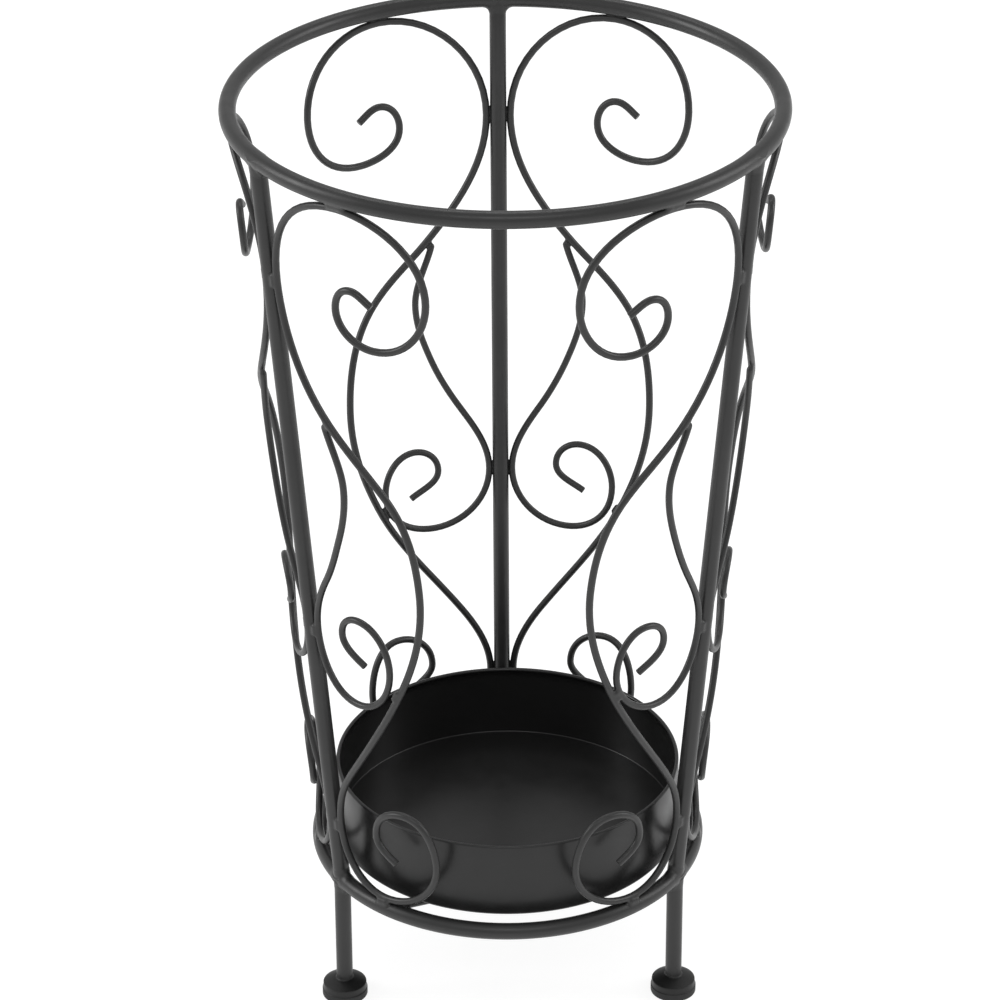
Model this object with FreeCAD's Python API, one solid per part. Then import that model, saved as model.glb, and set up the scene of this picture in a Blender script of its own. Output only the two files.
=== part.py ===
import FreeCAD, Part
import math
import os

# Umbrella stand: an open, conical wire frame of two rings, three posts and three legs,
# filled with six mirrored pairs of wire scrolls, and a loose round drip tray.
# Millimetres, +Z up, origin on the floor on the stand's axis.

# Rods and wires (diameters)
ROD = 8.0
LARGE_WIRE = 3.5
SMALL_WIRE = 3.3
SUPPORT_ROD = 3.5

# Rings (centre lines)
TOP_RING_RADIUS = 126.0
TOP_RING_HEIGHT = 456.0
LOWER_RING_RADIUS = 92.5
LOWER_RING_HEIGHT = 67.5

# Posts, by the direction they stand in, degrees counter-clockwise from +X.
# They are welded by eye, so they aren't quite a third of a turn apart.
POSTS = {"rear": 90.0, "front_left": 208.0, "front_right": 330.0}
FRONT = 270.0

# Feet
PAD_RADIUS = 11.1
PAD_HEIGHT = 4.0
PAD_EDGE = 0.8
CAP_RADIUS = 10.6
CAP_SIDE = 3.2
CAP_DOME = 2.4
CAP_TOP_RADIUS = 5.2
CAP_KNEE_INSET = 1.4
CAP_KNEE_SHARE = 0.62
SOCKET_CLEARANCE = 0.05

# Drip tray
TRAY_RADIUS = 84.0
TRAY_BOTTOM = 70.9
TRAY_HEIGHT = 38.6
TRAY_WALL = 0.9
TRAY_HEM = 1.0
TRAY_CORNER = 1.5

# Two parallel rods under the tray, each a chord of the lower ring, by the direction they face
SUPPORTS = {"front": 289.5, "rear": 109.5}
SUPPORT_TOP = 70.6
SUPPORT_OFFSET = 49.5

# Welds
WELD_GAP = 0.02
COLLAR_BULGE = 0.7
COLLAR_LENGTH = 6.2
COLLAR_OVERHANG = 0.1
SCROLL_BEAD = 1.7
SUPPORT_WELD = 3.2
SUPPORT_WELD_INSET = 2.0

# Scrolls lie on the cone through both rings. Each is a smooth line through way points:
# distance sideways from the post's axis, height, and heading (0 away from the post, 90 up).
LARGE_SCROLL = [
    (72.0, 403.0, 150.0),    # free end inside the top spiral
    (61.0, 408.5, 180.0),
    (50.5, 396.0, 270.0),
    (70.0, 381.5, 360.0),
    (100.5, 414.0, 90.0),
    (58.0, 450.2, 180.0),    # under the top ring
    (5.8, 398.0, 270.0),     # beside the post
    (36.0, 335.0, 314.0),
    (66.0, 306.0, 308.0),
    (79.5, 258.0, 270.0),    # widest part of the belly
    (64.0, 202.0, 244.0),
    (20.0, 137.0, 234.0),
    (5.8, 102.0, 270.0),     # beside the post again
    (36.0, 73.3, 360.0),     # on the lower ring
    (71.0, 103.0, 90.0),
    (55.0, 127.0, 180.0),
    (35.5, 109.0, 270.0),
    (47.0, 97.0, 325.0),     # free end inside the bottom spiral
]
SMALL_SCROLL = [
    (33.0, 333.0, 285.0),    # upper end, against the large scroll
    (41.5, 304.0, 270.0),
    (34.0, 274.0, 248.0),
    (20.0, 247.0, 237.0),
    (5.7, 213.0, 270.0),     # beside the post
    (33.0, 183.5, 360.0),
    (59.5, 209.0, 90.0),     # beside the large scroll
    (44.0, 228.0, 180.0),
    (31.0, 216.0, 270.0),
    (45.5, 203.5, 330.0),    # free end inside the spiral
]

POST_CONTACT = 5.8

# Half panels: name, post it stands beside, side (+1 counter-clockwise, -1 clockwise), and how
# it came out when bent by hand: how much wider its large and small scrolls are than drawn
# above, and how far away from the post and up the large scroll's upper end and the small
# scroll's lower end lie.
HALF_PANELS = [
    ("left_rear", "rear", 1, (1.03, 1.03), (-2.5, 0.0), (0.0, -1.6)),
    ("right_rear", "rear", -1, (1.0, 1.0), (-1.7, 0.8), (-3.1, 0.5)),
    ("front_left", "front_left", 1, (0.925, 0.912), (-0.7, 1.8), (-3.2, 4.0)),
    ("left_front", "front_left", -1, (0.96, 0.953), (0.0, 0.0), (0.0, 0.0)),
    ("right_front", "front_right", 1, (0.96, 0.953), (0.0, 0.0), (0.0, 0.0)),
    ("front_right", "front_right", -1, (0.985, 0.982), (3.6, -1.6), (2.9, 2.5)),
]

# How fully the way points nearest to a free end share in its shift, the end first
END_SHARES = (1.0, 1.0, 1.0, 0.5)

Z_AXIS = FreeCAD.Vector(0, 0, 1)
CENTRE = FreeCAD.Vector(0, 0, 0)


def cone_radius(height):
    """Radius, at a height, of the cone through both rings' centre lines."""
    share = (height - LOWER_RING_HEIGHT) / (TOP_RING_HEIGHT - LOWER_RING_HEIGHT)
    return LOWER_RING_RADIUS + share * (TOP_RING_RADIUS - LOWER_RING_RADIUS)


def widened(sideways, width):
    """Distance sideways from the post's axis in a scroll bent that much wider."""
    return POST_CONTACT + (sideways - POST_CONTACT) * width


def bent(way_points, width, end_shift):
    """Way points of a scroll, its free end first, as it came out in one half panel."""
    away, up = end_shift
    shares = END_SHARES + (0.0,) * (len(way_points) - len(END_SHARES))
    return [(widened(x + share * away, width), z + share * up, heading)
            for (x, z, heading), share in zip(way_points, shares)]


def on_cone(sideways, height, outward=0.0):
    """Point on the cone, for a post that stands in the +X direction."""
    radius = cone_radius(height)
    angle = sideways / radius
    reach = radius + outward
    return FreeCAD.Vector(reach * math.cos(angle), reach * math.sin(angle), height)


def between(start, end, share):
    """Point on the smooth line between two way points, as nearly a round arc as they allow."""
    x0, z0, heading0 = start
    x1, z1, heading1 = end
    turn = math.radians((heading1 - heading0 + 180.0) % 360.0 - 180.0)
    reach = math.hypot(x1 - x0, z1 - z0) / (3.0 * math.cos(turn / 4.0) ** 2)
    a0 = math.radians(heading0)
    a1 = math.radians(heading1)
    xs = (x0, x0 + reach * math.cos(a0), x1 - reach * math.cos(a1), x1)
    zs = (z0, z0 + reach * math.sin(a0), z1 - reach * math.sin(a1), z1)
    rest = 1.0 - share
    weights = (rest ** 3, 3 * rest ** 2 * share, 3 * rest * share ** 2, share ** 3)
    sideways = sum(w * x for w, x in zip(weights, xs))
    height = sum(w * z for w, z in zip(weights, zs))
    return on_cone(sideways, height)


def stations(way_points):
    """Points of a scroll with its direction at each: the way points and one between each two."""
    step = 1e-4
    found = []
    for start, end in zip(way_points, way_points[1:]):
        for share in (0.0, 0.5):
            ahead = between(start, end, share + step)
            behind = between(start, end, share - step)
            found.append((between(start, end, share), (ahead - behind).normalize()))
    start, end = way_points[-2:]
    last = between(start, end, 1.0)
    found.append((last, (last - between(start, end, 1.0 - step)).normalize()))
    return found


def arc(start, corner, end):
    """Arc from start to end whose end tangents meet at corner."""
    half = (end - start).Length / 2.0
    side = (corner - start).Length
    middle = (start + end) * 0.5
    bulge = (corner - middle) * (half / (side + half))
    if bulge.Length < 1e-5:
        return Part.makeLine(start, end)
    return Part.Arc(start, middle + bulge, end).toShape()


def two_arcs(start, along_start, end, along_end):
    """Two arcs, tangent to each other, from one point and direction to another."""
    gap = end - start
    both = along_start + along_end
    bend = 2.0 * (1.0 - along_start.dot(along_end))
    slope = gap.dot(both)
    if bend < 1e-9:
        reach = gap.dot(gap) / (2.0 * slope)
    else:
        reach = (math.sqrt(slope ** 2 + bend * gap.dot(gap)) - slope) / bend
    first = start + along_start * reach
    second = end - along_end * reach
    meeting = (first + second) * 0.5
    return [arc(start, first, meeting), arc(meeting, second, end)]


def scroll(way_points, diameter):
    """Round wire along a scroll's way points, beside a post in the +X direction."""
    route = stations(way_points)
    edges = []
    for (start, along_start), (end, along_end) in zip(route, route[1:]):
        edges += two_arcs(start, along_start, end, along_end)
    first, along = route[0]
    section = Part.Wire([Part.makeCircle(diameter / 2.0, first, along)])
    return Part.Wire(edges).makePipeShell([section], True, False)


def ring(radius, height):
    """Round rod bent to a closed ring, its seam in the middle of the front panel."""
    rod = Part.makeTorus(radius, ROD / 2.0, FreeCAD.Vector(0, 0, height), Z_AXIS)
    rod.rotate(CENTRE, Z_AXIS, FRONT)
    return rod


def ring_point(radius, height):
    """Point of a ring's centre line in the +X direction."""
    return FreeCAD.Vector(radius, 0, height)


def post():
    """Leaning rod, square cut where it meets the rods of the rings."""
    low = ring_point(LOWER_RING_RADIUS, LOWER_RING_HEIGHT)
    high = ring_point(TOP_RING_RADIUS, TOP_RING_HEIGHT)
    along = (high - low).normalize()
    inset = ROD / 2.0 + WELD_GAP
    length = (high - low).Length - 2.0 * inset
    return Part.makeCylinder(ROD / 2.0, length, low + along * inset, along)


def leg():
    """Upright rod from the foot's socket to the underside of the lower ring."""
    top = LOWER_RING_HEIGHT - ROD / 2.0 - WELD_GAP
    base = ring_point(LOWER_RING_RADIUS, PAD_HEIGHT)
    return Part.makeCylinder(ROD / 2.0, top - PAD_HEIGHT, base, Z_AXIS)


def outline(edges):
    """Face inside a closed outline."""
    return Part.Face(Part.Wire(edges))


def at(radius, height):
    """Point of an outline in the XZ plane."""
    return FreeCAD.Vector(radius, 0, height)


def polyline(points):
    """Straight edges through points."""
    return [Part.makeLine(a, b) for a, b in zip(points, points[1:])]


def foot_cap():
    """Domed disc with a socket for the leg."""
    socket = ROD / 2.0 + SOCKET_CLEARANCE
    shoulder = PAD_HEIGHT + CAP_SIDE
    top = shoulder + CAP_DOME
    knee = at(CAP_RADIUS - CAP_KNEE_INSET, shoulder + CAP_DOME * CAP_KNEE_SHARE)
    dome = Part.Arc(at(CAP_RADIUS, shoulder), knee, at(CAP_TOP_RADIUS, top)).toShape()
    edges = [dome]
    edges += polyline([at(CAP_TOP_RADIUS, top), at(socket, top), at(socket, PAD_HEIGHT),
                       at(CAP_RADIUS, PAD_HEIGHT), at(CAP_RADIUS, shoulder)])
    solid = outline(edges).revolve(CENTRE, Z_AXIS, 360)
    solid.translate(FreeCAD.Vector(LOWER_RING_RADIUS, 0, 0))
    return solid


def foot_pad():
    """Flat glide disc under the cap, a little wider than it."""
    base = ring_point(LOWER_RING_RADIUS, 0)
    pad = Part.makeCylinder(PAD_RADIUS, PAD_HEIGHT, base, Z_AXIS)
    rims = [edge for edge in pad.Edges if len(edge.Vertexes) == 1]
    return pad.makeFillet(PAD_EDGE, rims)


def collar(base, along):
    """Weld that fills the saddle between a rod's square end and a ring, and swells around both."""
    radius = ROD / 2.0
    inner = radius + WELD_GAP
    low = at(radius - COLLAR_OVERHANG, 0)
    swell = at(radius + COLLAR_BULGE, COLLAR_LENGTH / 2.0)
    high = at(inner, COLLAR_LENGTH)
    edges = [Part.Arc(low, swell, high).toShape()]
    edges += polyline([high, at(inner, radius), at(0, radius), at(0, 0), low])
    solid = outline(edges).revolve(CENTRE, Z_AXIS, 360)
    turn = FreeCAD.Rotation(Z_AXIS, along)
    solid.Placement = FreeCAD.Placement(base, turn)
    return solid


def largest(shape):
    """Biggest solid of a shape."""
    return max(shape.Solids, key=lambda solid: solid.Volume)


def bead(middle, along, half_length, neighbours):
    """Round-ended weld bead laid in the groove between neighbours, and cut back to them."""
    radius = SCROLL_BEAD
    body = Part.makeCylinder(radius, 2.0 * half_length, middle - along * half_length, along)
    for side in (-1, 1):
        body = body.fuse(Part.makeSphere(radius, middle + along * (side * half_length)))
    return largest(body.cut(neighbours))


def turned(shape, direction):
    """Copy of a shape turned about the stand's axis, in degrees."""
    copy = shape.copy()
    copy.rotate(CENTRE, Z_AXIS, direction)
    return copy


def placed(shape, post_name, side=1):
    """Copy of a shape made beside +X, mirrored for side -1, and turned to a post."""
    if side < 0:
        shape = shape.mirror(CENTRE, FreeCAD.Vector(0, 1, 0))
    return turned(shape, POSTS[post_name])


def tray():
    """Round pan with a rounded bottom corner and a rolled rim."""
    outer = TRAY_RADIUS
    inner = outer - TRAY_WALL
    low = TRAY_BOTTOM
    floor = low + TRAY_WALL
    rim = low + TRAY_HEIGHT - TRAY_HEM
    bend = TRAY_CORNER
    tight = bend - TRAY_WALL
    slant = math.sqrt(0.5)
    outside = Part.Arc(at(outer - bend, low),
                       at(outer - bend * (1 - slant), low + bend * (1 - slant)),
                       at(outer, low + bend)).toShape()
    inside = Part.Arc(at(inner, floor + tight),
                      at(inner - tight * (1 - slant), floor + tight * (1 - slant)),
                      at(inner - tight, floor)).toShape()
    edges = [Part.makeLine(at(0, low), at(outer - bend, low)), outside]
    edges += polyline([at(outer, low + bend), at(outer, rim), at(inner, rim),
                       at(inner, floor + tight)])
    edges.append(inside)
    edges += polyline([at(inner - tight, floor), at(0, floor), at(0, low)])
    pan = outline(edges).revolve(CENTRE, Z_AXIS, 360)
    hem = Part.makeTorus(outer - TRAY_HEM, TRAY_HEM, FreeCAD.Vector(0, 0, rim), Z_AXIS)
    return pan.fuse(hem).removeSplitter()


def support_rod(lower_ring):
    """Rod across the lower ring, cut to the ring's rod, with its two end points."""
    height = SUPPORT_TOP - SUPPORT_ROD / 2.0
    half = math.sqrt(LOWER_RING_RADIUS ** 2 - SUPPORT_OFFSET ** 2)
    start = FreeCAD.Vector(SUPPORT_OFFSET, -half, height)
    bar = Part.makeCylinder(SUPPORT_ROD / 2.0, 2.0 * half, start, FreeCAD.Vector(0, 1, 0))
    return largest(bar.cut(lower_ring))


def support_welds(bar, lower_ring):
    """Two rounded welds where a support rod meets the lower ring."""
    half = bar.BoundBox.YMax - SUPPORT_WELD_INSET
    height = SUPPORT_TOP - SUPPORT_ROD / 2.0
    welds = []
    for side in (-1, 1):
        end = FreeCAD.Vector(SUPPORT_OFFSET, side * half, height)
        welds.append(largest(Part.makeSphere(SUPPORT_WELD, end).cut([bar, lower_ring])))
    return welds


def groove(sideways, height, lean, outward):
    """Middle and direction of a bead on the outside of the frame, for a heading in the panel."""
    heading = math.radians(lean)
    ahead = on_cone(sideways + math.cos(heading), height + math.sin(heading), outward)
    middle = on_cone(sideways, height, outward)
    return middle, (ahead - middle).normalize()


def save(name, shape):
    """Write one piece, or one group of like pieces, to its own file."""
    shape.exportStep("parts/%s.step" % name)


os.makedirs("parts", exist_ok=True)

top_ring = ring(TOP_RING_RADIUS, TOP_RING_HEIGHT)
lower_ring = ring(LOWER_RING_RADIUS, LOWER_RING_HEIGHT)
save("top_ring", top_ring)
save("lower_ring", lower_ring)

# Posts, legs and feet
one_post = post()
for post_name in POSTS:
    save("post_" + post_name, placed(one_post, post_name))
    save("leg_" + post_name, placed(leg(), post_name))
    save("foot_cap_" + post_name, placed(foot_cap(), post_name))
    save("foot_pad_" + post_name, placed(foot_pad(), post_name))

# Scrolls, each made beside +X first
large_scrolls = {}
small_scrolls = {}
for panel, post_name, side, widths, large_end, small_end in HALF_PANELS:
    large_points = bent(LARGE_SCROLL, widths[0], large_end)
    small_points = bent(SMALL_SCROLL[::-1], widths[1], small_end)[::-1]
    large_scrolls[panel] = scroll(large_points, LARGE_WIRE)
    small_scrolls[panel] = scroll(small_points, SMALL_WIRE)
    save("large_scroll_" + panel, placed(large_scrolls[panel], post_name, side))
    save("small_scroll_" + panel, placed(small_scrolls[panel], post_name, side))

# Rod welds: one collar at each end of each post and at the top of each leg
low_point = ring_point(LOWER_RING_RADIUS, LOWER_RING_HEIGHT)
high_point = ring_point(TOP_RING_RADIUS, TOP_RING_HEIGHT)
up_post = (high_point - low_point).normalize()
rod_welds = {
    "welds_post_to_top_ring": largest(collar(high_point, up_post * -1.0).cut(top_ring)),
    "welds_post_to_lower_ring": largest(collar(low_point, up_post).cut(lower_ring)),
    "welds_leg_to_lower_ring": largest(collar(low_point, Z_AXIS * -1.0).cut(lower_ring)),
}
for name, weld in rod_welds.items():
    save(name, Part.makeCompound([placed(weld, post_name) for post_name in POSTS]))

# Scroll welds: where the bead lies beside its post, its heading, how far outside the cone,
# half its length, and what it joins
BEADS = {
    "welds_scroll_to_top_ring": (58.0, 451.9, 0.0, 1.2, 3.2, ("top ring", "large scroll")),
    "welds_scroll_to_lower_ring": (36.0, 71.6, 0.0, 1.4, 1.6, ("lower ring", "large scroll")),
    "welds_scroll_to_post_high": (4.3, 398.0, 90.0, 1.5, 1.8, ("post", "large scroll")),
    "welds_scroll_to_post_low": (4.3, 102.0, 90.0, 1.5, 1.8, ("post", "large scroll")),
    "welds_small_scroll_to_post": (4.3, 213.0, 90.0, 1.5, 1.8, ("post", "small scroll")),
    "welds_small_scroll_top": (34.0, 334.5, 305.0, 0.6, 2.0, ("large scroll", "small scroll")),
    "welds_small_scroll_to_large": (59.6, 197.5, 242.0, 1.0, 2.0, ("large scroll", "small scroll")),
}
for name, (sideways, height, lean, outward, half_length, joined) in BEADS.items():
    welds = []
    for panel, post_name, side, widths, _, _ in HALF_PANELS:
        pieces = {"top ring": top_ring, "lower ring": lower_ring, "post": one_post,
                  "large scroll": large_scrolls[panel], "small scroll": small_scrolls[panel]}
        middle, along = groove(widened(sideways, widths[0]), height, lean, outward)
        weld = bead(middle, along, half_length, [pieces[piece] for piece in joined])
        welds.append(placed(weld, post_name, side))
    save(name, Part.makeCompound(welds))

# Tray and what carries it
save("drip_tray", tray())
one_support = support_rod(lower_ring)
one_pair = support_welds(one_support, lower_ring)
all_welds = []
for support_name, direction in SUPPORTS.items():
    save("tray_support_" + support_name, turned(one_support, direction))
    all_welds += [turned(weld, direction) for weld in one_pair]
save("welds_tray_support", Part.makeCompound(all_welds))
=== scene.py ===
import math
import random

import bpy
import numpy as np
from mathutils import Matrix, Vector


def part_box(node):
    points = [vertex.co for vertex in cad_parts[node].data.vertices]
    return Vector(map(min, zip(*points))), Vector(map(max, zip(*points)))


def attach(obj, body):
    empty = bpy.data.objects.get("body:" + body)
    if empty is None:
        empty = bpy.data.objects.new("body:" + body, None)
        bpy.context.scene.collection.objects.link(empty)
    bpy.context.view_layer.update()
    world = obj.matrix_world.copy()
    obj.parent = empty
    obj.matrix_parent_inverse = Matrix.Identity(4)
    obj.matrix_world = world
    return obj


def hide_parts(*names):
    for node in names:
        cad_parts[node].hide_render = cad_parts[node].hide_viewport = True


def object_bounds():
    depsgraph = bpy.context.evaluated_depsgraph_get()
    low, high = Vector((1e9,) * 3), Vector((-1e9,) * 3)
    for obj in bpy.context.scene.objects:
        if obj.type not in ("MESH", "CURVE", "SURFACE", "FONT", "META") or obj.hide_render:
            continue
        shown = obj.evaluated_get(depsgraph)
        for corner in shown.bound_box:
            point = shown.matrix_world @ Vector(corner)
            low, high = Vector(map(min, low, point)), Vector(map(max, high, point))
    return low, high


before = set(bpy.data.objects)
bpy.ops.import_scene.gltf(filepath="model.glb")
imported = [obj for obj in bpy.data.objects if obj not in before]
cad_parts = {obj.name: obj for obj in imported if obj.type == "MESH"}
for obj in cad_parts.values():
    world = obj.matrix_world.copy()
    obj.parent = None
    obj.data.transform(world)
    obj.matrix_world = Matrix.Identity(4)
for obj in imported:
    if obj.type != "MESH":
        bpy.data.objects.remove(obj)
cad_low, cad_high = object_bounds()

# Umbrella stand of welded, powder-coated steel rod and wire, with a loose drip tray.
# Metres, +Z up, origin on the floor on the stand's axis.

MM = 0.001
POSTS = ("rear", "front_left", "front_right")

# Half panels: name, post beside it, side (+1 counter-clockwise), and how it came out when bent
# by hand: how much wider its large and small scrolls are than the way points, and how far away
# from the post and up the large scroll's upper end and the small scroll's lower end lie
HALF_PANELS = (
    ("left_rear", "rear", 1, (1.03, 1.03), (-2.5, 0.0), (0.0, -1.6)),
    ("right_rear", "rear", -1, (1.0, 1.0), (-1.7, 0.8), (-3.1, 0.5)),
    ("front_left", "front_left", 1, (0.925, 0.912), (-0.7, 1.8), (-3.2, 4.0)),
    ("left_front", "front_left", -1, (0.96, 0.953), (0.0, 0.0), (0.0, 0.0)),
    ("right_front", "front_right", 1, (0.96, 0.953), (0.0, 0.0), (0.0, 0.0)),
    ("front_right", "front_right", -1, (0.985, 0.982), (3.6, -1.6), (2.9, 2.5)),
)
END_SHARES = (1.0, 1.0, 1.0, 0.5)
POST_CONTACT = 5.8

# Scroll way points: sideways from the post's axis and height in millimetres, heading in degrees
LARGE_SCROLL = (
    (72.0, 403.0, 150.0),
    (61.0, 408.5, 180.0),
    (50.5, 396.0, 270.0),
    (70.0, 381.5, 360.0),
    (100.5, 414.0, 90.0),
    (58.0, 450.2, 180.0),
    (5.8, 398.0, 270.0),
    (36.0, 335.0, 314.0),
    (66.0, 306.0, 308.0),
    (79.5, 258.0, 270.0),
    (64.0, 202.0, 244.0),
    (20.0, 137.0, 234.0),
    (5.8, 102.0, 270.0),
    (36.0, 73.3, 360.0),
    (71.0, 103.0, 90.0),
    (55.0, 127.0, 180.0),
    (35.5, 109.0, 270.0),
    (47.0, 97.0, 325.0),
)
SMALL_SCROLL = (
    (33.0, 333.0, 285.0),
    (41.5, 304.0, 270.0),
    (34.0, 274.0, 248.0),
    (20.0, 247.0, 237.0),
    (5.7, 213.0, 270.0),
    (33.0, 183.5, 360.0),
    (59.5, 209.0, 90.0),
    (44.0, 228.0, 180.0),
    (31.0, 216.0, 270.0),
    (45.5, 203.5, 330.0),
)
LARGE_WIRE = 3.5 * MM / 2
SMALL_WIRE = 3.3 * MM / 2


# ---------------------------------------------------------------- sizes from the frame

def ring_size(node):
    """Rod radius, centre-line radius and height of a ring."""
    low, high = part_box(node)
    rod = (high.z - low.z) / 2
    return rod, high.x - rod, (high.z + low.z) / 2


ROD, TOP_RADIUS, TOP_HEIGHT = ring_size("top_ring")
_, LOW_RADIUS, LOW_HEIGHT = ring_size("lower_ring")


def middle_of(node):
    """Middle of a CAD node's box."""
    low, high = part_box(node)
    return (low + high) / 2


def direction_of(post):
    """Direction a post stands in, seen from above."""
    foot = middle_of("foot_pad_" + post)
    return math.atan2(foot.y, foot.x)


DIRECTIONS = {post: direction_of(post) for post in POSTS}


def cone_radius(height):
    """Radius of the cone through both rings' centre lines."""
    share = (height - LOW_HEIGHT) / (TOP_HEIGHT - LOW_HEIGHT)
    return LOW_RADIUS + share * (TOP_RADIUS - LOW_RADIUS)


def widened(sideways, width):
    """Millimetres sideways from the post's axis in a scroll bent that much wider."""
    return POST_CONTACT + (sideways - POST_CONTACT) * width


def bent(way_points, width, end_shift):
    """Way points of a scroll, its free end first, as it came out in one half panel."""
    away, up = end_shift
    shares = END_SHARES + (0.0,) * (len(way_points) - len(END_SHARES))
    return [(widened(x + share * away, width), z + share * up, heading)
            for (x, z, heading), share in zip(way_points, shares)]


def on_cone(sideways, height, outward=0.0):
    """Point on the cone beside a post that stands in the +X direction."""
    radius = cone_radius(height)
    angle = sideways / radius
    reach = radius + outward
    return np.array((reach * math.cos(angle), reach * math.sin(angle), height))


def between(start, end, share):
    """Sideways place and height on the smooth line between two way points."""
    x0, z0, heading0 = start
    x1, z1, heading1 = end
    turn = math.radians((heading1 - heading0 + 180.0) % 360.0 - 180.0)
    reach = math.hypot(x1 - x0, z1 - z0) / (3.0 * math.cos(turn / 4.0) ** 2)
    a0, a1 = math.radians(heading0), math.radians(heading1)
    xs = (x0, x0 + reach * math.cos(a0), x1 - reach * math.cos(a1), x1)
    zs = (z0, z0 + reach * math.sin(a0), z1 - reach * math.sin(a1), z1)
    rest = 1.0 - share
    weights = (rest ** 3, 3 * rest ** 2 * share, 3 * rest * share ** 2, share ** 3)
    sideways = sum(w * x for w, x in zip(weights, xs))
    height = sum(w * z for w, z in zip(weights, zs))
    return sideways * MM, height * MM


def scroll_path(way_points, steps=14):
    """Points of a scroll's centre line beside a post that stands in the +X direction."""
    points = []
    for start, end in zip(way_points, way_points[1:]):
        points += [on_cone(*between(start, end, i / steps)) for i in range(steps)]
    points.append(on_cone(*between(*way_points[-2:], 1.0)))
    return np.array(points)


def placed(points, post, side=1):
    """Points made beside +X, mirrored for side -1, and turned to a post."""
    points = np.array(points, float) * (1, side, 1)
    turn = DIRECTIONS[post]
    c, s = math.cos(turn), math.sin(turn)
    return points @ np.array(((c, s, 0), (-s, c, 0), (0, 0, 1)))


# ---------------------------------------------------------------- mesh builders

def piece(name, points, faces, material, slot, body, *nodes):
    """Smooth mesh piece that stands for CAD nodes and rides on their body."""
    mesh = bpy.data.meshes.new(name)
    mesh.from_pydata([tuple(p) for p in points], [], faces)
    mesh.validate()
    mesh.shade_smooth()
    mesh.materials.append(material)
    made = bpy.data.objects.new(name, mesh)
    bpy.context.scene.collection.objects.link(made)
    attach(made, body)
    if nodes:
        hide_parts(*nodes)
    return made


def joined(parts):
    """One list of points and faces from several."""
    points, faces = [], []
    for more, quads in parts:
        start = len(points)
        points += list(more)
        faces += [tuple(start + i for i in face) for face in quads]
    return points, faces


def grid_faces(rows, columns, closed_rows=False):
    """Quads between rows of points, each row a closed loop."""
    faces = []
    for i in range(rows if closed_rows else rows - 1):
        a, b = i * columns, (i + 1) % rows * columns
        for j in range(columns):
            k = (j + 1) % columns
            faces.append((a + j, a + k, b + k, b + j))
    return faces


def frames(path):
    """Tangents and one steady normal at each point of an open path."""
    along = np.gradient(path, axis=0)
    along /= np.linalg.norm(along, axis=1)[:, None]
    guide = np.array((0.0, 0.0, 1.0)) if abs(along[0][2]) < 0.9 else np.array((1.0, 0.0, 0.0))
    normal = np.cross(along[0], guide)
    normals = []
    for tangent in along:
        normal = normal - tangent * normal.dot(tangent)
        normal = normal / np.linalg.norm(normal)
        normals.append(normal)
    return along, np.array(normals)


def tube(path, radius, sides=20, rounding=0.35 * MM):
    """Round bar along a path, its ends cut square with a slightly rounded edge."""
    path = np.array(path, float)
    along, normals = frames(path)
    stations = []
    for k in range(4):
        bend = math.radians(30 * k)
        stations.append((rounding * (1 - math.sin(bend)), radius - rounding * (1 - math.cos(bend))))
    start = [(path[0] + along[0] * inset, 0, size) for inset, size in stations[::-1]]
    end = [(path[-1] - along[-1] * inset, -1, size) for inset, size in stations]
    length = np.linalg.norm(np.diff(path, axis=0), axis=1).cumsum()
    keep = [i + 1 for i in range(len(path) - 2)
            if length[i] > 1.5 * rounding and length[-1] - length[i] > 1.5 * rounding]
    rows = start + [(path[i], i, radius) for i in keep] + end
    rows.insert(0, (path[0], 0, (radius - rounding) * 0.6))
    rows.append((path[-1], -1, (radius - rounding) * 0.6))
    turns = np.linspace(0, 2 * math.pi, sides, endpoint=False)
    points = []
    for centre, i, size in rows:
        across = np.cross(along[i], normals[i])
        loop = np.cos(turns)[:, None] * normals[i] + np.sin(turns)[:, None] * across
        points += list(centre + size * loop)
    faces = grid_faces(len(rows), sides)
    last = len(points)
    points += [path[0], path[-1]]
    for j in range(sides):
        k = (j + 1) % sides
        faces.append((last, k, j))
        faces.append((last + 1, last - sides + j, last - sides + k))
    return points, faces


def lathe(profile, centre=(0.0, 0.0), segments=256, closed=False):
    """Outline of radius and height pairs turned about an upright axis."""
    turns = np.linspace(0, 2 * math.pi, segments, endpoint=False)
    ring = np.stack((np.cos(turns), np.sin(turns)), 1)
    points, loops = [], []
    for radius, height in profile:
        if radius < 1e-9:
            loops.append([len(points)] * segments)
            points.append((centre[0], centre[1], height))
        else:
            loops.append(list(range(len(points), len(points) + segments)))
            points += [(centre[0] + radius * x, centre[1] + radius * y, height) for x, y in ring]
    faces = []
    pairs = list(zip(loops, loops[1:] + loops[:1])) if closed else list(zip(loops, loops[1:]))
    for a, b in pairs:
        for j in range(segments):
            k = (j + 1) % segments
            face = []
            for corner in (a[j], a[k], b[k], b[j]):
                if corner not in face:
                    face.append(corner)
            faces.append(tuple(face))
    return points, faces


def bend(centre, radius, start, end, steps=6):
    """Radius and height pairs along an arc of an outline, angles in degrees."""
    angles = np.radians(np.linspace(start, end, steps + 1))
    return [(centre[0] + radius * math.cos(a), centre[1] + radius * math.sin(a)) for a in angles]


# ---------------------------------------------------------------- weld surfaces

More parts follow.
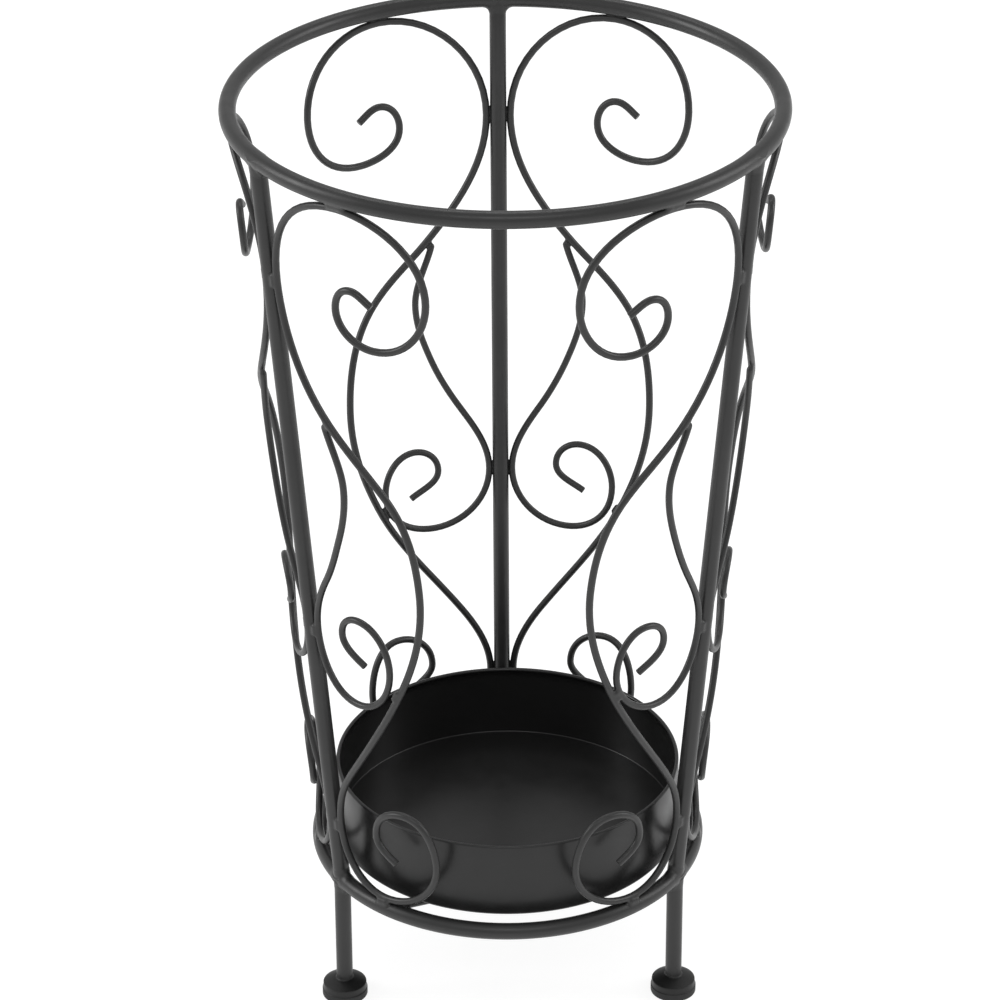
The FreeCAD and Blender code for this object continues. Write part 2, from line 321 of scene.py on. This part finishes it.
def skin(field, low, step):
    """Quads around the zero level of a sampled distance field, negative inside."""
    cells = np.array(field.shape) - 1
    total = np.zeros((*cells, 3))
    count = np.zeros(cells)
    edges = []
    for axis in range(3):
        near = np.take(field, range(cells[axis]), axis)
        far = np.take(field, range(1, cells[axis] + 1), axis)
        where = np.argwhere((near < 0) != (far < 0))
        before, after = near[tuple(where.T)], far[tuple(where.T)]
        spots = where.astype(float)
        spots[:, axis] += before / (before - after)
        u, v = (axis + 1) % 3, (axis + 2) % 3
        around = []
        for du, dv in ((0, 0), (-1, 0), (-1, -1), (0, -1)):
            cell = where.copy()
            cell[:, u] += du
            cell[:, v] += dv
            around.append(cell)
            np.add.at(total, tuple(cell.T), spots)
            np.add.at(count, tuple(cell.T), 1)
        edges.append((np.stack(around, 1), before < 0))
    used = np.argwhere(count > 0)
    number = np.full(cells, -1)
    number[tuple(used.T)] = np.arange(len(used))
    points = low + step * total[tuple(used.T)] / count[tuple(used.T)][:, None]
    faces = []
    for around, outward in edges:
        corners = number[tuple(np.moveaxis(around, 2, 0))]
        corners[~outward] = corners[~outward][:, ::-1]
        faces += [tuple(int(i) for i in face) for face in corners]
    return points, faces


def melt(a, b, width):
    """Union of two distance fields, the corners between them filled where they aren't flush."""
    slopes_a, slopes_b = np.array(np.gradient(a)), np.array(np.gradient(b))
    sizes = np.linalg.norm(slopes_a, axis=0) * np.linalg.norm(slopes_b, axis=0) + 1e-12
    corner = np.clip(1 - (slopes_a * slopes_b).sum(0) / sizes, 0, 1)
    share = np.clip(width - np.abs(a - b), 0, None) / width
    return np.minimum(a, b) - corner * share ** 2 * width / 4


def from_ring(points, radius, height, rod):
    """Distance from a ring's rod."""
    out = np.hypot(points[..., 0], points[..., 1]) - radius
    return np.hypot(out, points[..., 2] - height) - rod


def from_line(points, start, end, rod):
    """Distance from a round bar with round ends."""
    start, end = np.array(start), np.array(end)
    along = end - start
    share = np.clip((points - start) @ along / along.dot(along), 0, 1)
    return np.linalg.norm(points - start - share[..., None] * along, axis=-1) - rod


def from_stub(points, start, end, rod):
    """Distance from a round bar cut square at its end, about which only the end matters."""
    start, end = np.array(start), np.array(end)
    along = (end - start) / np.linalg.norm(end - start)
    past = (points - end) @ along
    out = np.linalg.norm(points - end - past[..., None] * along, axis=-1) - rod
    return np.maximum(out, past)


def from_path(points, path, rod, middle, reach):
    """Distance from the part of a wire that lies near a point."""
    near = np.linalg.norm(path - middle, axis=1) < 2 * reach
    found = np.full(points.shape[:-1], 1.0)
    for i in range(len(path) - 1):
        if near[i] or near[i + 1]:
            found = np.minimum(found, from_line(points, path[i], path[i + 1], rod))
    return found


def sample_points(middle, reach, step):
    """Cube of sample points round a middle, and its lowest corner."""
    count = int(2 * reach / step) + 3
    low = np.array(middle) - step * (count - 1) / 2
    steps = np.arange(count) * step
    grid = np.stack(np.meshgrid(steps, steps, steps, indexing="ij"), -1)
    return low + grid, low


SINK = 0.04 * MM
WELD_STEP = 0.35 * MM


def lumps(points, seed, size):
    """Slow, uneven swell like that of melted metal."""
    draw = random.Random(seed)
    total = np.zeros(points.shape[:-1])
    for _ in range(5):
        wave = np.array([draw.uniform(-1, 1) for _ in range(3)])
        wave *= 2 * math.pi / (draw.uniform(3.0, 6.0) * MM * np.linalg.norm(wave))
        total += np.sin(points @ wave + draw.uniform(0, 2 * math.pi))
    return total * size / 5


def rod_weld(rods, middle, reach, width, seed):
    """Filled corner all round a joint of rods, with a slightly uneven surface."""
    points, low = sample_points(middle, reach + WELD_STEP, WELD_STEP)
    first, second = [rod(points) for rod in rods]
    meeting = melt(first, second, width) + SINK
    filled = np.clip((SINK + np.minimum(first, second) - meeting) / (0.5 * MM), 0, 1)
    meeting += lumps(points, seed, 0.15 * MM) * filled
    ball = np.linalg.norm(points - middle, axis=-1) - reach
    return skin(np.maximum(meeting, ball), low, WELD_STEP)


def bead_weld(rods, middle, along, half, radius, seed):
    """Short bead between rods, melted into both."""
    reach = half + radius + 2.5 * MM
    points, low = sample_points(middle, reach, WELD_STEP)
    draw = random.Random(seed)
    half = half * draw.uniform(0.85, 1.15)
    radius = radius * draw.uniform(0.96, 1.03)
    run = from_line(points, middle - along * half, middle + along * half, radius)
    run += lumps(points, seed, 0.15 * MM)
    metal = rods[0](points)
    for rod in rods[1:]:
        metal = np.minimum(metal, rod(points))
    ball = np.linalg.norm(points - middle, axis=-1) - (reach - WELD_STEP)
    return skin(np.maximum(melt(run, metal, 1.8 * MM) + SINK, ball), low, WELD_STEP)


# ---------------------------------------------------------------- materials

def ramp(nodes, links, source, stops):
    """Colour ramp from a grey value, with colours at its stops."""
    node = nodes.new("ShaderNodeValToRGB")
    while len(node.color_ramp.elements) < len(stops):
        node.color_ramp.elements.new(0.5)
    for element, (place, colour) in zip(node.color_ramp.elements, stops):
        element.position = place
        element.color = (*colour, 1.0)
    links.new(source, node.inputs["Fac"])
    return node.outputs["Color"]


def noise(nodes, links, place, scale, detail=2.0, roughness=0.5):
    """Grey noise over the object's own coordinates."""
    node = nodes.new("ShaderNodeTexNoise")
    node.inputs["Scale"].default_value = scale
    node.inputs["Detail"].default_value = detail
    node.inputs["Roughness"].default_value = roughness
    links.new(place, node.inputs["Vector"])
    return node.outputs["Fac"]


def coat(name, dark, light, gloss, peel=0.02, peel_scale=900.0, coarse=0.02, specular=0.5):
    """Painted or moulded finish: cloudy colour, uneven gloss and a fine orange-peel surface."""
    material = bpy.data.materials.new(name)
    material.use_nodes = True
    nodes, links = material.node_tree.nodes, material.node_tree.links
    shader = nodes["Principled BSDF"]
    shader.inputs["Specular IOR Level"].default_value = specular
    place = nodes.new("ShaderNodeTexCoord").outputs["Object"]

    clouds = noise(nodes, links, place, 22.0, 4.0, 0.6)
    links.new(ramp(nodes, links, clouds, ((0.3, dark), (0.7, light))), shader.inputs["Base Color"])

    patches = noise(nodes, links, place, 95.0, 3.0, 0.55)
    shine = nodes.new("ShaderNodeMapRange")
    shine.inputs["From Min"].default_value = 0.3
    shine.inputs["From Max"].default_value = 0.7
    shine.inputs["To Min"].default_value = gloss[0]
    shine.inputs["To Max"].default_value = gloss[1]
    links.new(patches, shine.inputs["Value"])
    links.new(shine.outputs["Result"], shader.inputs["Roughness"])

    fine = nodes.new("ShaderNodeBump")
    fine.inputs["Strength"].default_value = 1.0
    fine.inputs["Distance"].default_value = peel * MM
    links.new(noise(nodes, links, place, peel_scale, 2.0), fine.inputs["Height"])
    broad = nodes.new("ShaderNodeBump")
    broad.inputs["Strength"].default_value = 1.0
    broad.inputs["Distance"].default_value = coarse * MM
    links.new(noise(nodes, links, place, peel_scale / 5, 1.0), broad.inputs["Height"])
    links.new(fine.outputs["Normal"], broad.inputs["Normal"])
    links.new(broad.outputs["Normal"], shader.inputs["Normal"])
    return material


FRAME_COAT = coat("charcoal_powder_coat", (0.012,) * 3, (0.018,) * 3, (0.34, 0.44))
TRAY_COAT = coat("black_tray_coat", (0.007,) * 3, (0.010,) * 3, (0.28, 0.36), peel=0.012, specular=0.43)
CAP_PLASTIC = coat("black_moulded_plastic", (0.006,) * 3, (0.009,) * 3, (0.40, 0.52), peel=0.01, specular=0.38)
PAD_RUBBER = coat("dark_rubber", (0.007,) * 3, (0.011,) * 3, (0.6, 0.8), peel=0.02)
FLOOR_PAINT = coat("pale_floor", (0.28,) * 3, (0.30,) * 3, (0.7, 0.8), specular=0.1)
FLOOR_SHADER = FLOOR_PAINT.node_tree.nodes["Principled BSDF"]
FLOOR_SHADER.inputs["Emission Color"].default_value = (1.0, 1.0, 1.0, 1.0)
FLOOR_SHADER.inputs["Emission Strength"].default_value = 0.85


# ---------------------------------------------------------------- the frame's rods and wires

LOW_POINT = np.array((LOW_RADIUS, 0.0, LOW_HEIGHT))
HIGH_POINT = np.array((TOP_RADIUS, 0.0, TOP_HEIGHT))


def make_ring(name, node, radius, height):
    """Closed ring of round rod."""
    section = bend((radius, height), ROD, 0, 360, 32)[:-1]
    points, faces = lathe(section[::-1], closed=True)
    piece(name, points, faces, FRAME_COAT, "frame_coating", "frame", node)


def straight(start, end, steps=24):
    """Evenly spaced points of a straight line."""
    start, end = np.array(start), np.array(end)
    return [start + (end - start) * i / steps for i in range(steps + 1)]


make_ring("top_ring_rod", "top_ring", TOP_RADIUS, TOP_HEIGHT)
make_ring("lower_ring_rod", "lower_ring", LOW_RADIUS, LOW_HEIGHT)

for post in POSTS:
    points, faces = tube(placed(straight(LOW_POINT, HIGH_POINT), post), ROD, 32)
    piece("post_rod_" + post, points, faces, FRAME_COAT, "frame_coating", "frame", "post_" + post)
    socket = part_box("leg_" + post)[0].z
    foot = (LOW_RADIUS, 0.0, socket)
    points, faces = tube(placed(straight(foot, LOW_POINT), post), ROD, 32)
    piece("leg_rod_" + post, points, faces, FRAME_COAT, "frame_coating", "frame", "leg_" + post)

SCROLLS = {}
WIRES = {"large": LARGE_WIRE, "small": SMALL_WIRE}
for panel, post, side, widths, large_end, small_end in HALF_PANELS:
    large_points = bent(LARGE_SCROLL, widths[0], large_end)
    small_points = bent(SMALL_SCROLL[::-1], widths[1], small_end)[::-1]
    SCROLLS["large", panel] = placed(scroll_path(large_points), post, side)
    SCROLLS["small", panel] = placed(scroll_path(small_points), post, side)
for (size, panel), path in SCROLLS.items():
    points, faces = tube(path, WIRES[size])
    name = size + "_scroll_"
    piece(name + "wire_" + panel, points, faces, FRAME_COAT, "frame_coating", "frame", name + panel)


# ---------------------------------------------------------------- feet

def curve(start, control, end, steps=8):
    """Radius and height pairs along a bend of an outline, from start to end."""
    found = []
    for i in range(steps + 1):
        share = i / steps
        weights = ((1 - share) ** 2, 2 * share * (1 - share), share ** 2)
        found.append(tuple(sum(w * p[k] for w, p in zip(weights, (start, control, end)))
                           for k in (0, 1)))
    return found


def make_foot(post):
    """Low domed plastic cap round the leg's end, flared out to a rubber glide."""
    pad_low, pad_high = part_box("foot_pad_" + post)
    cap_low, cap_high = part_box("foot_cap_" + post)
    centre = middle_of("foot_pad_" + post)
    radius = (pad_high.x - pad_low.x) / 2
    soft = 0.8 * MM
    edge = 0.35 * MM
    outline = [(0.0, pad_low.z)]
    outline += bend((radius - soft, pad_low.z + soft), soft, -90, 0)
    outline += bend((radius - edge, pad_high.z - edge), edge, 0, 90, 4)
    outline += [(radius * 0.6, pad_high.z), (0.0, pad_high.z)]
    points, faces = lathe(outline, centre, 96)
    piece("foot_glide_" + post, points, faces, PAD_RUBBER, "pad_rubber",
          "frame", "foot_pad_" + post)

    radius = (cap_high.x - cap_low.x) / 2
    height = cap_high.z - cap_low.z
    shoulder = 0.7 * MM
    side = cap_low.z + 0.5 * height
    lip = (radius - shoulder, side)
    neck = 1.1 * MM
    crown = (ROD + neck, cap_high.z - 0.2 * MM)
    outline = [(ROD * 0.9, cap_low.z), (radius + edge, cap_low.z)]
    outline += curve((radius + edge, cap_low.z), (radius, cap_low.z + edge), (radius, side), 4)
    outline += bend(lip, shoulder, 10, 60, 5)
    outline += curve(outline[-1], (radius * 0.78, cap_low.z + 0.82 * height), crown)
    outline += bend((crown[0], crown[1] + neck), neck, 262, 184, 6)
    points, faces = lathe(outline, centre, 96)
    piece("foot_ferrule_" + post, points, faces, CAP_PLASTIC, "foot_plastic",
          "frame", "foot_cap_" + post)


for post in POSTS:
    make_foot(post)


# ---------------------------------------------------------------- drip tray and its rods

def make_tray():
    """Pressed round pan with a rolled rim, its floor very slightly dished."""
    low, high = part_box("drip_tray")
    radius = (high.x - low.x) / 2
    wall = 0.9 * MM
    hem = 1.0 * MM
    corner = 1.5 * MM
    rim = high.z - hem
    dish = 0.25 * MM
    outline = [(0.0, low.z + dish), (radius * 0.35, low.z + dish)]
    outline.append((radius * 0.7, low.z + dish * 0.8))
    outline += [(radius - 5 * corner, low.z)]
    outline += bend((radius - corner, low.z + corner), corner, -90, 0, 10)
    for share in (0.2, 0.4, 0.6, 0.8):
        outline.append((radius, low.z + corner + share * (rim - low.z - corner)))
    outline += bend((radius - hem, rim), hem, 0, 250, 14)
    inner = radius - wall
    for share in (0.85, 0.65, 0.4, 0.2):
        outline.append((inner, low.z + corner + share * (rim - low.z - corner)))
    outline += bend((radius - corner, low.z + corner), corner - wall, 0, -90, 10)
    floor = low.z + wall
    outline += [(radius - 5 * corner, floor), (radius * 0.7, floor + dish * 0.8)]
    outline += [(radius * 0.35, floor + dish), (0.0, floor + dish)]
    points, faces = lathe(outline, segments=256)
    piece("drip_tray_pan", points, faces, TRAY_COAT, "tray_coating", "tray", "drip_tray")


make_tray()


def support_ends(node):
    """Ends and radius of a straight rod under the tray, from its CAD node."""
    spots = np.array([v.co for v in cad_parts[node].data.vertices])
    low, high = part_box(node)
    _, _, axes = np.linalg.svd(spots - spots.mean(0), full_matrices=False)
    along = axes[0] * (1, 1, 0)
    along /= np.linalg.norm(along)
    across = np.array((-along[1], along[0], 0.0))
    ends = spots @ along
    sides = spots @ across
    middle = across * (sides.min() + sides.max()) / 2 + np.array((0, 0, (low.z + high.z) / 2))
    return middle + along * ends.min(), middle + along * ends.max(), (high.z - low.z) / 2


SUPPORTS = {place: support_ends("tray_support_" + place) for place in ("front", "rear")}
for place, (start, end, radius) in SUPPORTS.items():
    points, faces = tube(straight(start, end), radius, 24)
    piece("tray_support_bar_" + place, points, faces, FRAME_COAT, "frame_coating",
          "frame", "tray_support_" + place)


# ---------------------------------------------------------------- welds

def ring_rod(radius, height):
    return lambda points: from_ring(points, radius, height, ROD)


def bar_rod(start, end, rod=ROD):
    return lambda points: from_line(points, start, end, rod)


def stub_rod(start, end, rod=ROD):
    return lambda points: from_stub(points, start, end, rod)


top_rod = ring_rod(TOP_RADIUS, TOP_HEIGHT)
low_rod = ring_rod(LOW_RADIUS, LOW_HEIGHT)


def make_rod_welds(name, ring, joint, start):
    """Filled joints of a ring with the bar that ends in it at each post."""
    parts = []
    for number, post in enumerate(POSTS):
        middle = placed([joint], post)[0]
        bar = stub_rod(placed([start], post)[0], middle)
        parts.append(rod_weld((ring, bar), middle, 8.5 * MM, 4.5 * MM, name + str(number)))
    points, faces = joined(parts)
    piece("joints_" + name[6:], points, faces, FRAME_COAT, "frame_coating", "frame", name)


UNDER_LOW = LOW_POINT - (0, 0, 20 * MM)
make_rod_welds("welds_post_to_top_ring", top_rod, HIGH_POINT, LOW_POINT)
make_rod_welds("welds_post_to_lower_ring", low_rod, LOW_POINT, HIGH_POINT)
make_rod_welds("welds_leg_to_lower_ring", low_rod, LOW_POINT, UNDER_LOW)


NEARBY = 10 * MM


def joined_rods(others, panel, post, middle):
    """Distance fields of what a bead beside a half panel joins."""
    rods = []
    for other in others:
        if other == "top_ring":
            rods.append(top_rod)
        elif other == "lower_ring":
            rods.append(low_rod)
        elif other == "post":
            rods.append(bar_rod(placed([LOW_POINT], post)[0], placed([HIGH_POINT], post)[0]))
        else:
            path, rod = SCROLLS[other, panel], WIRES[other]
            rods.append(lambda points, path=path, rod=rod:
                        from_path(points, path, rod, middle, NEARBY))
    return rods


def make_bead_welds(name, sideways, height, lean, outward, half, radius, others):
    """Beads beside each half panel's scrolls; others names what each bead joins."""
    heading = math.radians(lean)
    parts = []
    for number, (panel, post, side, widths, _, _) in enumerate(HALF_PANELS):
        x = widened(sideways, widths[0])
        spot = on_cone(x * MM, height * MM, outward * MM)
        ahead = on_cone((x + math.cos(heading)) * MM, (height + math.sin(heading)) * MM,
                        outward * MM)
        middle, tip = placed([spot, ahead], post, side)
        along = (tip - middle) / np.linalg.norm(tip - middle)
        rods = joined_rods(others, panel, post, middle)
        parts.append(bead_weld(rods, middle, along, half * MM, radius * MM, name + str(number)))
    points, faces = joined(parts)
    piece("beads_" + name[6:], points, faces, FRAME_COAT, "frame_coating", "frame", name)


# Where each bead lies beside its post (millimetres), its heading, how far outside the cone,
# half its length, its radius, and what it joins
make_bead_welds("welds_scroll_to_top_ring", 58.0, 451.9, 0.0, 1.2, 3.2, 1.6, ("top_ring", "large"))
make_bead_welds("welds_scroll_to_lower_ring", 36.0, 71.6, 0.0, 1.4, 1.6, 1.6, ("lower_ring", "large"))
make_bead_welds("welds_scroll_to_post_high", 4.3, 398.0, 90.0, 1.3, 1.8, 1.3, ("post", "large"))
make_bead_welds("welds_scroll_to_post_low", 4.3, 102.0, 90.0, 1.3, 1.8, 1.3, ("post", "large"))
make_bead_welds("welds_small_scroll_to_post", 4.3, 213.0, 90.0, 1.3, 1.8, 1.3, ("post", "small"))
make_bead_welds("welds_small_scroll_top", 34.4, 334.9, 305.0, 0.4, 1.4, 1.2, ("large", "small"))
make_bead_welds("welds_small_scroll_to_large", 59.6, 197.5, 242.0, 0.8, 1.8, 1.3, ("large", "small"))


def make_support_welds():
    """Rounded joints of the rods under the tray with the lower ring."""
    parts = []
    for number, (start, end, radius) in enumerate(SUPPORTS.values()):
        for side, (tip, tail) in enumerate(((start, end), (end, start))):
            bar = stub_rod(tail, tip, radius)
            seed = "support%d%d" % (number, side)
            parts.append(rod_weld((low_rod, bar), tip, 6.5 * MM, 4.0 * MM, seed))
    points, faces = joined(parts)
    piece("joints_tray_support", points, faces, FRAME_COAT, "frame_coating",
          "frame", "welds_tray_support")


make_support_welds()


# ---------------------------------------------------------------- floor, light and camera

def make_floor():
    """Large pale floor, linked to the scene outside the object's bodies."""
    points, faces = lathe([(0.0, 0.0), (0.3, 0.0), (1.0, 0.0), (3.0, 0.0), (6.0, 0.0)], segments=64)
    mesh = bpy.data.meshes.new("floor")
    points = [(x, y, cad_low.z) for x, y, _ in points]
    mesh.from_pydata(points, [], [face[::-1] for face in faces])
    mesh.materials.append(FLOOR_PAINT)
    floor = bpy.data.objects.new("floor", mesh)
    bpy.context.scene.collection.objects.link(floor)


make_floor()


def softbox(name, place, target, width, height, power):
    """Soft rectangular lamp at a place, turned to a target."""
    lamp = bpy.data.lights.new(name, "AREA")
    lamp.shape = "RECTANGLE"
    lamp.size = width
    lamp.size_y = height
    lamp.energy = power
    made = bpy.data.objects.new(name, lamp)
    made.location = place
    made.rotation_euler = (Vector(target) - Vector(place)).to_track_quat("-Z", "Y").to_euler()
    bpy.context.scene.collection.objects.link(made)


AIM = (0.0, 0.0, 0.25)
softbox("rear_overhead", (0.0, 1.1, 2.3), AIM, 1.4, 0.5, 7.5)
softbox("front_overhead", (0.0, -1.6, 2.2), AIM, 1.4, 0.5, 7.0)
softbox("left", (-2.0, 0.1, 1.25), AIM, 0.8, 1.2, 16.5)
softbox("right", (2.0, 0.1, 1.25), AIM, 0.8, 1.2, 13.0)

world = bpy.data.worlds.new("studio")
world.use_nodes = True
world.node_tree.nodes["Background"].inputs["Color"].default_value = (1.0, 1.0, 1.0, 1.0)
world.node_tree.nodes["Background"].inputs["Strength"].default_value = 0.64
bpy.context.scene.world = world
bpy.context.scene.view_settings.view_transform = "Standard"

# Camera: distance from its aim point, which is on the stand's axis
DISTANCE = 2.1
ELEVATION = math.radians(28.443)
AIM_HEIGHT = 0.25132
YAW = math.radians(-0.097)
ROLL = math.radians(-0.239)
TURN = math.radians(-1.6)
LENS = 158.98


def make_camera():
    """Camera in front of the stand, looking down at it."""
    lens = bpy.data.cameras.new("camera")
    lens.sensor_width = 36.0
    lens.lens = LENS
    lens.clip_start = 0.05
    lens.clip_end = 50.0
    camera = bpy.data.objects.new("camera", lens)
    turn = Matrix.Rotation(TURN, 4, "Z")
    away = Vector((0.0, -math.cos(ELEVATION), math.sin(ELEVATION))) * DISTANCE
    place = Matrix.Translation(Vector((0.0, 0.0, AIM_HEIGHT)) + away)
    tilt = Matrix.Rotation(math.pi / 2 - ELEVATION, 4, "X")
    yaw = Matrix.Rotation(-YAW, 4, "Z")
    roll = Matrix.Rotation(ROLL, 4, "Z")
    camera.matrix_world = turn @ place @ yaw @ tilt @ roll
    bpy.context.scene.collection.objects.link(camera)
    bpy.context.scene.camera = camera


make_camera()
